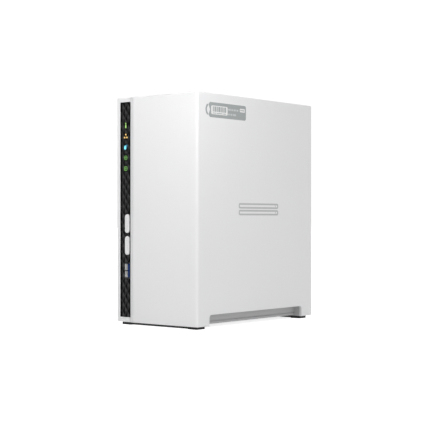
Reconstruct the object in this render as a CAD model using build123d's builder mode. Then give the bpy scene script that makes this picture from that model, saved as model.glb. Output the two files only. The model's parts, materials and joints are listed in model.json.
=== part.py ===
"""Two-bay network attached storage tower: a white sliding cover on a white chassis.

Frame: millimetres, +Z up, the front faces -Y, the origin is under the middle of the case.
"""

from build123d import *
from math import hypot, sqrt
import os

os.makedirs("parts", exist_ok=True)

# ---------------------------------------------------------------- case
case_width = 90.18
case_depth = 156.26
case_height = 188.64
foot_height = 2.15
wall = 2.4
slide_gap = 0.3            # between the cover and everything it slides past
fit = 0.1                  # clearance of a screw or a pin in its hole

x_left, x_right = -case_width / 2, case_width / 2
y_front, y_rear = -case_depth / 2, case_depth / 2
z_base, z_top = foot_height, case_height
in_left, in_right = x_left + wall, x_right - wall
in_top = z_top - wall

# ---------------------------------------------------------------- front strip
cover_front_width = 69.6   # flat front panel of the cover, measured from the right
strip_recess = 2.0         # the strip stands this far behind the cover's front
bevel_run = 5.0            # width of the slanted edge between the two
strip_depth = 4.7
insert_recess = 0.2
insert_thick = 1.7
insert_left = x_left + 3.75
insert_z = (6.2, 185.0)

x_panel = x_right - cover_front_width
x_bevel = x_panel - bevel_run
y_strip = y_front + strip_recess
y_insert = y_strip + insert_recess
y_pocket = y_insert + insert_thick
y_web = y_strip + strip_depth
y_flange = y_strip + wall
x_strip = x_bevel - slide_gap

seam_x = x_panel - 0.5     # the seam between cover and chassis along the top

# ---------------------------------------------------------------- lights, keys and ports
board_x = -37.8            # the component face of the main board
board_thick = 1.6
led_x = board_x + 2.65
led_z = [165.5 - 8.95 * i for i in range(5)]
lens_w, lens_h = 4.2, 5.4
key_x = board_x + 4.3
key_w, key_h = 5.05, 15.6
key_rise = 0.3             # the keys stand this far in front of the insert
key_z = {"power": 83.9, "copy": 65.7}
usb_x = key_x + 0.1
front_usb_z = 44.8
usb_cell = (5.3, 12.5)     # opening of a USB-A port: across and upright
usb_skin, rear_rim = 0.35, 1.6
usb_w, usb_h = usb_cell[0] + 2 * usb_skin, usb_cell[1] + 2 * usb_skin
usb_hole_x = (usb_x - usb_w / 2 - fit, usb_x + usb_w / 2 + fit)
usb_hole_z = (front_usb_z - usb_h / 2 - fit, front_usb_z + usb_h / 2 + fit)
tongue_offset = 2.75       # from the cell's board side to the tongue
lan_z, dc_z, rear_usb_z, reset_z = 38.5, 18.5, 66.0, 82.5

# ---------------------------------------------------------------- base and rear
notch_y = 63.35            # the side notches run from -notch_y to +notch_y
notch_top = 11.2
notch_round = 2.5
skirt_x = x_right - 8.0    # inner wall seen inside a notch
groove_depth, groove_z = 1.1, (4.6, 5.7)   # the groove along that wall
floor_z = (2.9, 5.4)
tray_top = 13.4
rear_recess = 1.2
y_panel = y_rear - rear_recess - wall      # inner face of the rear panel
y_panel_out = y_rear - rear_recess

# ---------------------------------------------------------------- drives and fan
drive_t, drive_d, drive_l = 26.1, 101.6, 147.0
drive_x = {"drive_1": -10.0, "drive_2": 22.0}
drive_y = -17.2
drive_z = 22.0
fan_size, fan_depth, fan_z = 80.0, 25.0, 141.5
fan_bore = 38.0
fan_pitch = 71.5
y_fan = y_panel - fan_depth / 2

post_points = [(-33.0, -69.0), (-13.0, 69.0), (30.0, 69.0)]     # base screws
cage_posts = [(x, y) for x in (-21.5, 32.0) for y in (-60.5, 26.0)]
plane_posts = [(18.0, -50.0), (18.0, 2.0)]                      # backplane screws
post_boss_z = (tray_top, tray_top + 7)
post_bore_z = (tray_top - 1, tray_top + 5.5)
post_top = 14.2
lane_x = 39.6              # free lane for the cover's screw bosses
lane_z = (20.0, 92.0)
screw_r = 1.5
pan_head_r, pan_head_t = 2.8, 1.1
cap_head_t = 1.6

# ---------------------------------------------------------------- label and emblem
label_thick = 0.25
label_y, label_z = (-64.6, -16.3), (169.0, 181.1)
label_notch, label_corner = 1.9, 1.7
emblem_centre, emblem_bar = (1.4, 95.8), (54.3, 4.5)
emblem_pitch, emblem_stroke = 5.5, 1.4


# ---------------------------------------------------------------- helpers
def block(x, y, z, mode=Mode.ADD):
    """A box between the (low, high) pairs x, y and z."""
    with Locations(((x[0] + x[1]) / 2, (y[0] + y[1]) / 2, (z[0] + z[1]) / 2)):
        return Box(x[1] - x[0], y[1] - y[0], z[1] - z[0], mode=mode)


def grow(span, margin):
    """A (low, high) pair made wider by margin at each end, or narrower if it is negative."""
    return (span[0] - margin, span[1] + margin)


def rod(radius, x, z, y, mode=Mode.ADD):
    """A cylinder along Y at x, z between the (low, high) pair y."""
    with Locations(Location((x, (y[0] + y[1]) / 2, z), (90, 0, 0))):
        return Cylinder(radius, y[1] - y[0], mode=mode)


def pin_x(radius, x, y, z, mode=Mode.ADD):
    """A cylinder along X at y, z between the (low, high) pair x."""
    with Locations(Location(((x[0] + x[1]) / 2, y, z), (0, 90, 0))):
        return Cylinder(radius, x[1] - x[0], mode=mode)


def pin_z(radius, x, y, z, mode=Mode.ADD):
    """A cylinder along Z at x, y between the (low, high) pair z."""
    with Locations((x, y, (z[0] + z[1]) / 2)):
        return Cylinder(radius, z[1] - z[0], mode=mode)


def stadium(w, h, x, z, y, mode=Mode.ADD):
    """An upright rounded bar seen from the front, between the (low, high) pair y."""
    with BuildSketch(Plane.XZ.offset(-y[1])) as outline:
        with Locations((x, z)):
            RectangleRounded(w, h, min(w, h) / 2 - 0.01)
    extrude(outline.sketch, amount=y[1] - y[0], mode=mode)


def edge_at(part, x, y, z):
    """The edge of a part that passes nearest to a point."""
    return part.edges().sort_by_distance(Vector(x, y, z))[0]


def save(builder, name):
    """Label a finished piece and write it."""
    builder.part.label = name
    export_step(builder.part, f"parts/{name}.step")


def side_notch(x, mode=Mode.SUBTRACT):
    """The long low notch at the bottom of a side wall, rounded at its upper corners."""
    low = z_base - 5
    with BuildSketch(Plane.YZ.offset(x[0])) as notch:
        with Locations((0, (low + notch_top) / 2)):
            Rectangle(2 * notch_y, notch_top - low)
        fillet(notch.vertices().group_by(Axis.Y)[-1], notch_round)
    extrude(notch.sketch, amount=x[1] - x[0], mode=mode)


# Centreline of the bow that stands beside the label's notched edge.
label_middle = sum(label_z) / 2
with BuildLine() as label_bow:
    ThreePointArc(
        (label_y[0] - 1.3, label_z[1] - 2.6),
        (label_y[0] - 2.8, label_middle),
        (label_y[0] - 1.3, label_z[0] + 2.6),
    )


def label_plate(mode=Mode.ADD):
    """The thin tag and bow of the label in the cover's right side, or their pockets."""
    with BuildSketch(Plane.YZ.offset(x_right)) as plate:
        with BuildLine():
            Polyline(
                (label_y[1], label_z[1]),
                (label_y[0] + label_notch, label_z[1]),
                (label_y[0], label_z[1] - label_notch),
                (label_y[0] + label_notch, label_middle),
                (label_y[0], label_z[0] + label_notch),
                (label_y[0] + label_notch, label_z[0]),
                (label_y[1], label_z[0]),
                close=True,
            )
        make_face()
        fillet(plate.vertices().group_by(Axis.X)[-1], label_corner)
        SlotArc(label_bow.edge(), 1.8)
    extrude(plate.sketch, amount=-label_thick, mode=mode)


def emblem_bars(mode=Mode.ADD):
    """Two outlined bars, one above the other, each with a dot near its end, or their pockets."""
    inner = (emblem_bar[0] - 2 * emblem_stroke, emblem_bar[1] - 2 * emblem_stroke)
    with BuildSketch(Plane.YZ.offset(x_right)) as bars:
        with Locations(emblem_centre):
            with GridLocations(0, emblem_pitch, 1, 2):
                RectangleRounded(*emblem_bar, 1.6)
                RectangleRounded(*inner, 0.5, mode=Mode.SUBTRACT)
                with Locations((inner[0] / 2 - 2.5, 0)):
                    Circle(0.6)
    extrude(bars.sketch, amount=-label_thick, mode=mode)


# ---------------------------------------------------------------- cover
with BuildPart() as cover:
    with BuildSketch(Plane.XY.offset(z_base)):
        with BuildLine():
            Polyline(
                (x_panel, y_front),
                (x_right, y_front),
                (x_right, y_rear),
                (seam_x, y_rear),
                (seam_x, y_flange),
                (x_bevel, y_flange),
                (x_bevel, y_strip),
                close=True,
            )
        make_face()
    extrude(amount=z_top - z_base)
    fillet(edge_at(cover, x_right, y_front, z_top / 2), 2.2)
    top_rim = cover.faces().sort_by(Axis.Z)[-1].edges()
    outer_rim = top_rim.filter_by(lambda e: e.center().X > x_panel + 1 and e.center().Y < y_rear - 1)
    fillet(outer_rim, 1.3)
    fillet(cover.faces().sort_by(Axis.Z)[0].edges().sort_by(Axis.X)[-1], 0.6)
    block((seam_x - 9, in_right), (y_flange, y_rear + 1), (z_base - 1, in_top), Mode.SUBTRACT)
    block((x_panel - 1, in_right), (y_front + wall, y_flange), (z_base - 1, in_top), Mode.SUBTRACT)
    side_notch((in_right - 1, x_right + 1))
    # Lower guide rib, which runs above the ledge of the base tray.
    block((in_right - 1.8, in_right), (-60, 60), (tray_top + 0.8, tray_top + 2.2))
    # Upper guide rib, beside the tongue of the chassis.
    block((seam_x + 3.6, seam_x + 4.8), (-66, 66), (in_top - 2.2, in_top))
    # Stiffening ribs behind the front panel.
    for rib_x in (-8.0, 10.0, 28.0):
        block((rib_x - 0.6, rib_x + 0.6), (y_front + wall, y_front + wall + 2.0), (30, 170))
    # Bosses that the two rear screws bite into, each on a web from the side wall.
    boss_y = (y_panel - 12, y_panel - slide_gap)
    for boss_z in lane_z:
        block((lane_x, in_right), boss_y, (boss_z - 1, boss_z + 1))
        rod(2.6, lane_x, boss_z, boss_y)
        rod(screw_r + fit, lane_x, boss_z, (y_panel - 9, y_panel), Mode.SUBTRACT)
    label_plate(Mode.SUBTRACT)
    emblem_bars(Mode.SUBTRACT)
save(cover, "cover")

# ---------------------------------------------------------------- chassis shell
board_holes = [(y, z) for y in (-62.0, 66.0) for z in (27.0, 90.0)] + [(-36.0, 168.0), (-62.0, 118.0)]

with BuildPart() as left_shell:
    block((x_left, seam_x - slide_gap), (y_strip, y_rear), (z_base, z_top))
    fillet(edge_at(left_shell, x_left, y_strip, z_top / 2), 0.8)
    shell_top = left_shell.faces().sort_by(Axis.Z)[-1].edges()
    outer_top = shell_top.filter_by(lambda e: e.center().X < seam_x - 2 and e.center().Y < y_rear - 1)
    fillet(outer_top, 0.9)
    block((in_left, seam_x), (y_web, y_rear + 1), (z_base - 1, in_top), Mode.SUBTRACT)
    block((x_strip, seam_x), (y_strip - 1, y_web + 0.1), (z_base - 1, in_top), Mode.SUBTRACT)
    rebate_y = (y_strip - 1, y_flange + slide_gap)
    block((x_strip, seam_x), rebate_y, (in_top - 1, z_top + 1), Mode.SUBTRACT)
    # Tongue that lies under the cover's top, and the step that carries it.
    tongue_z = (in_top - slide_gap - 1.2, in_top - slide_gap)
    block((seam_x - 3.2, seam_x - slide_gap), (y_web, y_panel), (tongue_z[0], in_top))
    block((seam_x - 3.2, seam_x + 3.0), (y_web, y_panel), tongue_z)
    # Pocket of the black insert.
    block((insert_left, x_strip + 1), (y_strip - 1, y_pocket), insert_z, Mode.SUBTRACT)
    side_notch((x_left - 1, in_left + 1))
    # Windows through the web behind the insert.
    through_web = (y_pocket - 1, y_web + 1)
    for z in led_z:
        block((led_x - 2.9, led_x + 2.9), through_web, (z - 3.6, z + 3.6), Mode.SUBTRACT)
    for z in key_z.values():
        stadium(key_w + 0.7, key_h + 0.7, key_x, z, through_web, Mode.SUBTRACT)
    block(usb_hole_x, through_web, usb_hole_z, Mode.SUBTRACT)
    # Standoffs of the main board.
    for y, z in board_holes:
        pin_x(3.0, (in_left - 0.1, board_x - board_thick), y, z)
        pin_x(1.0, (in_left + 0.5, board_x), y, z, Mode.SUBTRACT)
    # Ribs that stiffen the left wall above the board.
    for y in (-5.0, 20.0, 45.0):
        block((in_left - 0.1, in_left + 1.4), (y - 0.6, y + 0.6), (105, 178))
    # Boss for the front base screw.
    front_post = post_points[0]
    block((front_post[0] - 3, front_post[0] + 2.2), (y_web - 0.1, front_post[1]), post_boss_z)
    pin_z(3.0, *front_post, post_boss_z)
    pin_z(screw_r, *front_post, post_bore_z, Mode.SUBTRACT)
save(left_shell, "left_shell")

# ---------------------------------------------------------------- base tray
with BuildPart() as base_tray:
    block((in_left, in_right - slide_gap), (y_web, y_panel), (z_base, tray_top))
    inner_x = skirt_x - wall
    block((-inner_x, inner_x), (-notch_y - 4, notch_y + 4), (floor_z[1], tray_top + 1), Mode.SUBTRACT)
    block((-50, 50), (-notch_y, notch_y), (z_base - 1, floor_z[0]), Mode.SUBTRACT)
    for side in (-1, 1):
        notch_x = sorted((side * skirt_x, side * 50))
        block(notch_x, (-notch_y, notch_y), (z_base - 1, notch_top), Mode.SUBTRACT)
        # Groove along the skirt.
        groove_x = sorted((side * (skirt_x - groove_depth), side * 50))
        block(groove_x, (-notch_y, notch_y), groove_z, Mode.SUBTRACT)
    # Air slots in the floor.
    with Locations((0, 0, floor_z[0])):
        with GridLocations(16, 10, 4, 9):
            Box(12, 3, 8, mode=Mode.SUBTRACT)
    # Posts that carry the drive cage and the backplane.
    for x, y in cage_posts + plane_posts:
        pin_z(3.0, x, y, (floor_z[0], post_top))
        pin_z(screw_r, x, y, (floor_z[0] + 1.5, post_top + 1), Mode.SUBTRACT)
    for x, y in post_points:
        pin_z(screw_r + fit, x, y, (z_base - 1, tray_top + 1), Mode.SUBTRACT)
save(base_tray, "base_tray")

# ---------------------------------------------------------------- rear panel
rear_usb_x = board_x + usb_cell[0] + 1.5 * rear_rim
lan_x = board_x + 6.9
dc_x = board_x + 5.8
reset_x = board_x + 2.8
rating_x, rating_z, field_depth = (-9.0, 31.0), (22.5, 55.5), 0.4

cell_size, cell_pitch = 5.6, 6.5
row_pitch = cell_pitch * sqrt(3) / 2
cell_grid = [
    (cell_pitch * (col + 0.5 * (row % 2)), row_pitch * row)
    for row in range(-6, 7)
    for col in range(-7, 7)
]
outlet_cells = [(x, fan_z + z) for x, z in cell_grid if hypot(x, z) < fan_bore - 3.2]

with BuildPart() as rear_panel:
    block((in_left, in_right - slide_gap), (y_panel, y_panel_out), (z_base, in_top - 2 * slide_gap))
    # Raised rim round the outlet.
    with BuildSketch(Plane.XZ.offset(-y_panel_out)):
        with Locations((0, fan_z)):
            Circle(fan_bore + 1.4)
            Circle(fan_bore - 0.2, mode=Mode.SUBTRACT)
    extrude(amount=-0.6)
    # Bosses for the rear base screws.
    for x, y in post_points[1:]:
        block((x - 3, x + 3), (y, y_panel + 0.1), post_boss_z)
        pin_z(3.0, x, y, post_boss_z)
        pin_z(screw_r, x, y, post_bore_z, Mode.SUBTRACT)
    # Port openings.
    through = (y_panel - 1, y_rear)
    usb_span = (rear_usb_x - 8.0, rear_usb_x + 8.0)
    block(usb_span, through, (rear_usb_z - 7.0, rear_usb_z + 7.0), Mode.SUBTRACT)
    block((lan_x - 7.1, lan_x + 7.1), through, (lan_z - 8.2, lan_z + 8.2), Mode.SUBTRACT)
    rod(4.3, dc_x, dc_z, through, Mode.SUBTRACT)
    rod(1.1, reset_x, reset_z, through, Mode.SUBTRACT)
    # Slot for a security cable.
    stadium(3.0, 7.4, -20.0, 18.5, through, Mode.SUBTRACT)
    # Row of air slots beside the ports.
    for i in range(9):
        stadium(2.4, 16.0, -10.0 + 4.6 * i, 74.0, through, Mode.SUBTRACT)
    # Recessed field for a blank rating label.
    field_y = (y_panel_out - field_depth, y_rear)
    block(grow(rating_x, 0.5), field_y, grow(rating_z, 0.5), Mode.SUBTRACT)
    # Screw holes.
    for x in (-fan_pitch / 2, fan_pitch / 2):
        for z in (fan_z - fan_pitch / 2, fan_z + fan_pitch / 2):
            rod(2.2 + fit, x, z, through, Mode.SUBTRACT)
    for z in lane_z:
        rod(screw_r + fit, lane_x, z, through, Mode.SUBTRACT)
    # Honeycomb of the fan outlet.
    with BuildSketch(Plane.XZ.offset(-y_panel_out)):
        with Locations(*outlet_cells):
            RegularPolygon(cell_size / 2, 6, major_radius=False, rotation=30)
    extrude(amount=wall, mode=Mode.SUBTRACT)
save(rear_panel, "rear_panel")

with BuildPart() as rating_label:
    block(rating_x, (y_panel_out - field_depth, y_panel_out - field_depth + 0.2), rating_z)
save(rating_label, "rating_label")

# ---------------------------------------------------------------- front insert and lenses
with BuildPart() as front_insert:
    block((insert_left + fit, x_strip), (y_insert, y_pocket), (insert_z[0] + fit, insert_z[1] - fit))
    fillet(front_insert.edges().filter_by(Axis.Y).group_by(Axis.X)[0], 0.6)
    through_insert = (y_insert - 1, y_pocket + 1)
    for z in led_z:
        stadium(lens_w, lens_h, led_x, z, through_insert, Mode.SUBTRACT)
    for z in key_z.values():
        stadium(key_w + 0.25, key_h + 0.25, key_x, z, through_insert, Mode.SUBTRACT)
    block(usb_hole_x, through_insert, usb_hole_z, Mode.SUBTRACT)
save(front_insert, "front_insert")

with BuildPart() as light_pipe:
    for z in led_z:
        stadium(lens_w - 0.1, lens_h - 0.1, led_x, z, (y_insert + 0.1, y_pocket))
        block((led_x - 2.8, led_x + 2.8), (y_pocket, y_web), (z - 3.5, z + 3.5))
    # The spine that joins the five light guides behind the web.
    block((led_x - 1.5, led_x + 2.8), (y_web, y_web + 0.9), (led_z[-1] - 5, led_z[0] + 5))
save(light_pipe, "light_pipe")

with BuildPart() as led_array:
    for z in led_z:
        block((board_x, board_x + 3.4), (y_web + 2.4, y_web + 5.6), (z - 1.6, z + 1.6))
        rod(1.1, led_x, z, (y_web + 1.2, y_web + 2.5))
save(led_array, "led_array")

# ---------------------------------------------------------------- keys and their switches
switch_y = y_web + 4.0
for name, z in key_z.items():
    with BuildPart() as key:
        stadium(key_w, key_h, key_x, z, (y_insert - key_rise, y_web + 1.3))
        fillet(key.faces().sort_by(Axis.Y)[0].edges(), 0.4)
        stadium(key_w + 1.4, key_h + 1.6, key_x, z, (y_web + 0.1, y_web + 1.3))
        block((key_x - 1.2, key_x + 1.2), (y_web + 1.2, y_web + 2.4), (z - 3, z + 3))
    save(key, f"{name}_button")

    with BuildPart() as plunger:
        rod(1.2, key_x, z, (y_web + 2.4, switch_y + 1.2))
    save(plunger, f"{name}_switch_plunger")

    with BuildPart() as switch:
        block((board_x, key_x + 3.0), (switch_y, switch_y + 4.6), (z - 3, z + 3))
        rod(1.3, key_x, z, (switch_y - 1, switch_y + 2.4), Mode.SUBTRACT)
    save(switch, f"{name}_switch")


# ---------------------------------------------------------------- USB ports
def usb_shell(x_low, cells, y_span, z_mid, rim):
    """A metal port shell with cells side by side along X, each as wide as a USB-A plug."""
    width = cells * usb_cell[0] + (cells + 1) * rim
    cell_z = (z_mid - usb_cell[1] / 2, z_mid + usb_cell[1] / 2)
    block((x_low, x_low + width), y_span, grow(cell_z, usb_skin))
    for i in range(cells):
        low = x_low + rim + i * (usb_cell[0] + rim)
        block((low, low + usb_cell[0]), y_span, cell_z, Mode.SUBTRACT)


def usb_tongue(x_low, y_back, y_root, y_tip, z_mid):
    """The plug's seat: a block that closes the cell and a tongue towards the mouth."""
    half = usb_cell[1] / 2
    block((x_low, x_low + usb_cell[0]), sorted((y_back, y_root)), (z_mid - half, z_mid + half))
    tongue_x = (x_low + tongue_offset, x_low + tongue_offset + 1.9)
    block(tongue_x, sorted((y_root, y_tip)), (z_mid - half + 0.7, z_mid + half - 0.7))


front_usb_y = (y_insert, y_insert + 14.0)
front_cell_x = usb_x - usb_cell[0] / 2

with BuildPart() as front_usb_shell:
    usb_shell(usb_x - usb_w / 2, 1, front_usb_y, front_usb_z, usb_skin)
save(front_usb_shell, "front_usb_shell")

with BuildPart() as front_usb_tongue:
    usb_tongue(front_cell_x, front_usb_y[1], front_usb_y[1] - 3, front_usb_y[0] + 0.8, front_usb_z)
save(front_usb_tongue, "front_usb_tongue")

with BuildPart() as front_usb_contacts:
    contact_x = front_cell_x + tongue_offset
    contact_y = (front_usb_y[0] + 1.6, front_usb_y[1] - 3)
    for i in range(4):
        z = front_usb_z - 3.75 + 2.5 * i
        block((contact_x - 0.2, contact_x), contact_y, (z - 0.5, z + 0.5))
save(front_usb_contacts, "front_usb_contacts")

rear_usb_y = (y_panel_out - 17.5, y_panel_out + 0.3)
with BuildPart() as rear_usb_shell:
    usb_shell(board_x, 2, rear_usb_y, rear_usb_z, rear_rim)
save(rear_usb_shell, "rear_usb_shell")

with BuildPart() as rear_usb_tongues:
    for i in range(2):
        low = board_x + rear_rim + i * (usb_cell[0] + rear_rim)
        usb_tongue(low, rear_usb_y[0], rear_usb_y[0] + 4, rear_usb_y[1] - 1, rear_usb_z)
save(rear_usb_tongues, "rear_usb_tongues")

# ---------------------------------------------------------------- network and power jacks
lan_y = (y_panel_out - 21.0, y_panel_out + 0.3)
lan_cavity_x = (lan_x - 3.4, lan_x + 5.3)

lan_light_x, lan_light_z = (board_x + 0.7, board_x + 2.7), (4.3, 7.1)

with BuildPart() as lan_jack:
    mouth = lan_y[1] + 1
    block((board_x, board_x + 13.8), lan_y, (lan_z - 8.0, lan_z + 8.0))
    block(lan_cavity_x, (lan_y[1] - 14.5, mouth), (lan_z - 6.0, lan_z + 6.0), Mode.SUBTRACT)
    # Keyway of the plug's latch.
    block((lan_x - 5.4, lan_x), (lan_y[1] - 12, mouth), (lan_z - 3.1, lan_z + 3.1), Mode.SUBTRACT)
    # Pockets of the link and activity lights.
    for side in (-1, 1):
        z = sorted(lan_z + side * edge for edge in grow(lan_light_z, fit))
        block(grow(lan_light_x, fit), (lan_y[1] - 6, mouth), z, Mode.SUBTRACT)
save(lan_jack, "lan_jack")

with BuildPart() as lan_contacts:
    for i in range(8):
        z = lan_z - 3.57 + 1.02 * i
        block((lan_x + 4.7, lan_x + 5.3), (lan_y[1] - 14.5, lan_y[1] - 3), (z - 0.2, z + 0.2))
save(lan_contacts, "lan_contacts")

with BuildPart() as lan_lights:
    for side in (-1, 1):
        z = sorted(lan_z + side * edge for edge in lan_light_z)
        block(lan_light_x, (lan_y[1] - 6, lan_y[1]), z)
save(lan_lights, "lan_lights")

dc_y = (y_panel - 13.0, y_panel_out)
with BuildPart() as dc_jack:
    block((board_x, board_x + 11.0), (dc_y[0], y_panel - 0.2), (dc_z - 5.0, dc_z + 5.0))
    rod(4.2, dc_x, dc_z, (y_panel - 0.3, dc_y[1]))
    rod(3.2, dc_x, dc_z, (dc_y[1] - 10.5, dc_y[1] + 1), Mode.SUBTRACT)
save(dc_jack, "dc_jack")

with BuildPart() as dc_pin:
    rod(1.2, dc_x, dc_z, (dc_y[1] - 10.5, dc_y[1] - 1.2))
    fillet(dc_pin.faces().sort_by(Axis.Y)[-1].edges(), 0.5)
save(dc_pin, "dc_pin")

# ---------------------------------------------------------------- reset switch
with BuildPart() as reset_switch:
    block((board_x, board_x + 5.6), (y_panel - 7.0, y_panel - 3.0), (reset_z - 3, reset_z + 3))
    rod(1.1, reset_x, reset_z, (y_panel - 5.4, y_panel - 2), Mode.SUBTRACT)
save(reset_switch, "reset_switch")

with BuildPart() as reset_plunger:
    rod(1.0, reset_x, reset_z, (y_panel - 4.8, y_panel - 1.2))
save(reset_plunger, "reset_plunger")

# ---------------------------------------------------------------- main board and its parts
board_back = board_x - board_thick
with BuildPart() as main_board:
    with BuildSketch(Plane.YZ.offset(board_back)):
        with BuildLine():
            Polyline(
                (y_web + 2.6, 15.0),
                (y_panel - 0.8, 15.0),
                (y_panel - 0.8, 95.0),
                (-30.0, 95.0),
                (-30.0, 175.0),
                (y_web + 2.6, 175.0),
                close=True,
            )
        make_face()
        with Locations(*board_holes):
            Circle(screw_r + fit, mode=Mode.SUBTRACT)
    extrude(amount=board_thick)
save(main_board, "main_board")

with BuildPart() as processor:
    block((board_x, board_x + 1.6), (4.0, 25.0), (50.5, 71.5))
save(processor, "processor")

with BuildPart() as heat_sink:
    block((board_x + 1.6, board_x + 3.6), (-4.0, 33.0), (43.0, 79.0))
    for i in range(10):
        z = 43.6 + 3.85 * i
        block((board_x + 3.6, board_x + 11.5), (-4.0, 33.0), (z - 0.6, z + 0.6))
save(heat_sink, "heat_sink")

with BuildPart() as memory_chips:
    for z in (48.0, 74.0):
        block((board_x, board_x + 1.2), (-24.0, -10.5), (z - 5, z + 5))
    block((board_x, board_x + 1.2), (-24.0, -12.5), (28.0, 40.0))
save(memory_chips, "memory_chips")

with BuildPart() as capacitors:
    for y, z in ((35.0, 20.5), (43.0, 20.5), (51.0, 20.5), (-48.0, 104.0), (-40.0, 104.0)):
        pin_x(3.1, (board_x, board_x + 8.0), y, z)
save(capacitors, "capacitors")

with BuildPart() as inductors:
    for y in (9.0, 18.0, 27.0):
        block((board_x, board_x + 3.2), (y - 3.4, y + 3.4), (19.0, 26.0))
save(inductors, "inductors")

with BuildPart() as coin_cell_holder:
    pin_x(11.4, (board_x, board_x + 4.6), -46.0, 140.0)
    pin_x(10.1, (board_x + 1.0, board_x + 5), -46.0, 140.0, Mode.SUBTRACT)
save(coin_cell_holder, "coin_cell_holder")

with BuildPart() as coin_cell:
    pin_x(10.0, (board_x + 1.0, board_x + 4.2), -46.0, 140.0)
save(coin_cell, "coin_cell")

with BuildPart() as buzzer:
    pin_x(4.6, (board_x, board_x + 5.0), -56.0, 104.0)
    pin_x(0.9, (board_x + 3.5, board_x + 6), -56.0, 104.0, Mode.SUBTRACT)
save(buzzer, "buzzer")

# ---------------------------------------------------------------- drive cage
cage_x = (-25.6, 36.4)
cage_t = 1.0
cage_y = (drive_y - drive_d / 2 - 0.3, drive_y + drive_d / 2 + 0.3)
cage_z = (post_top, 174.0)
drive_screw_z = (drive_z + 28.5, drive_z + 130.1)
bridge_screw_x, bridge_screw_in = (-14.0, 26.0), 5.0
bridge_screw_y = (cage_y[0] + bridge_screw_in, cage_y[1] - bridge_screw_in)


def cage_upright(y_plate, inward):
    """A steel upright across the case: a slotted plate with bent side, bottom and top edges."""
    y_out = y_plate - inward * cage_t
    plate_y = sorted((y_plate, y_out))
    through = grow(plate_y, 1)
    block(cage_x, plate_y, cage_z)
    for x in drive_x.values():
        for i in range(6):
            stadium(14.0, 5.0, x, 62.0 + 13.0 * i, through, Mode.SUBTRACT)
        for z in drive_screw_z:
            rod(screw_r + fit, x, z, through, Mode.SUBTRACT)
    foot_y = sorted((y_out, y_plate + inward * 13.5))
    for x, y in cage_posts:
        if foot_y[0] < y < foot_y[1]:
            block((x - 4, x + 4), foot_y, (cage_z[0], cage_z[0] + cage_t))
            pin_z(screw_r + fit, x, y, (cage_z[0] - 1, cage_z[0] + 2), Mode.SUBTRACT)
    top_y = sorted((y_out, y_plate + inward * 10.0))
    block(cage_x, top_y, (cage_z[1], cage_z[1] + cage_t))
    for x in bridge_screw_x:
        y = y_plate + inward * bridge_screw_in
        pin_z(screw_r + fit, x, y, (cage_z[1] - 1, cage_z[1] + 2), Mode.SUBTRACT)


with BuildPart() as cage_front:
    cage_upright(cage_y[0], 1)
save(cage_front, "cage_front")

with BuildPart() as cage_rear:
    cage_upright(cage_y[1], -1)
save(cage_rear, "cage_rear")

bridge_z = (cage_z[1] + cage_t, cage_z[1] + 2 * cage_t)
with BuildPart() as cage_bridge:
    block((-18.0, 30.0), (cage_y[0] - cage_t, cage_y[1] + cage_t), bridge_z)
    for i in range(5):
        y = drive_y - 34 + 17 * i
        for x in (-6.0, 18.0):
            with Locations((x, y, bridge_z[0])):
                Box(16, 8, 6, mode=Mode.SUBTRACT)
    for x in bridge_screw_x:
        for y in bridge_screw_y:
            pin_z(screw_r + fit, x, y, grow(bridge_z, 1), Mode.SUBTRACT)
save(cage_bridge, "cage_bridge")

# ---------------------------------------------------------------- drives
lid_t, pcb_t = 1.2, 1.6
platter_room_r, platter_z = 47.0, drive_z + 97.0
for name, x in drive_x.items():
    x_low, x_high = x - drive_t / 2, x + drive_t / 2
    body_x = (x_low + pcb_t + 1.0, x_high - lid_t)
    room_x = (body_x[0] + 3.0, body_x[1] + 1)
    y_span = (drive_y - drive_d / 2, drive_y + drive_d / 2)
    z_span = (drive_z, drive_z + drive_l)
    with BuildPart() as casting:
        block((x_low, body_x[1]), y_span, z_span)
        fillet(casting.edges().filter_by(Axis.X), 3.0)
        # Recess of the drive's board.
        board_z = (z_span[0] - 1, z_span[0] + 70)
        block((x_low - 1, body_x[0]), grow(y_span, -4), board_z, Mode.SUBTRACT)
        # Room for the platters and the arm.
        pin_x(platter_room_r, room_x, drive_y, platter_z, Mode.SUBTRACT)
        arm_z = (z_span[0] + 18, z_span[0] + 60)
        block(room_x, grow(y_span, -6), arm_z, Mode.SUBTRACT)
        for z in drive_screw_z:
            for y in y_span:
                rod(screw_r, x, z, (y - 5, y + 5), Mode.SUBTRACT)
    save(casting, f"{name}_casting")

    with BuildPart() as lid:
        block((body_x[1], x_high - 0.4), grow(y_span, -1), grow(z_span, -1))
        fillet(lid.edges().filter_by(Axis.X), 3.0)
        pin_x(platter_room_r - 4, (body_x[1], x_high), drive_y, platter_z)
        pin_x(15.0, (x_high - 0.5, x_high + 1), drive_y, platter_z, Mode.SUBTRACT)
    save(lid, f"{name}_lid")

    with BuildPart() as drive_board:
        block((x_low + 1.0, body_x[0]), grow(y_span, -5), (z_span[0] + 2, z_span[0] + 68))
        # The controller chip.
        block((x_low + 0.2, x_low + 1.0), (drive_y - 8, drive_y + 8), (z_span[0] + 30, z_span[0] + 46))
    save(drive_board, f"{name}_board")

# ---------------------------------------------------------------- backplane
backplane_z = (post_top, post_top + 1.6)
socket_y = (drive_y - 22.0, drive_y + 22.0)
with BuildPart() as drive_backplane:
    block((-24.6, 21.0), (drive_y - 36, drive_y + 22.5), backplane_z)
    for x, y in plane_posts:
        pin_z(screw_r + fit, x, y, (backplane_z[0] - 1, backplane_z[1] + 1), Mode.SUBTRACT)
save(drive_backplane, "drive_backplane")

with BuildPart() as drive_sockets:
    for x in drive_x.values():
        socket_x = x - drive_t / 2 + 2.2
        block((socket_x - 1.9, socket_x + 3.6), socket_y, (backplane_z[1], drive_z - 0.3))
        # Slot that takes the drive's edge.
        slot_x = (socket_x, socket_x + 1.6)
        block(slot_x, grow(socket_y, -3), (drive_z - 3, drive_z + 1), Mode.SUBTRACT)
save(drive_sockets, "drive_sockets")

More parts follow.
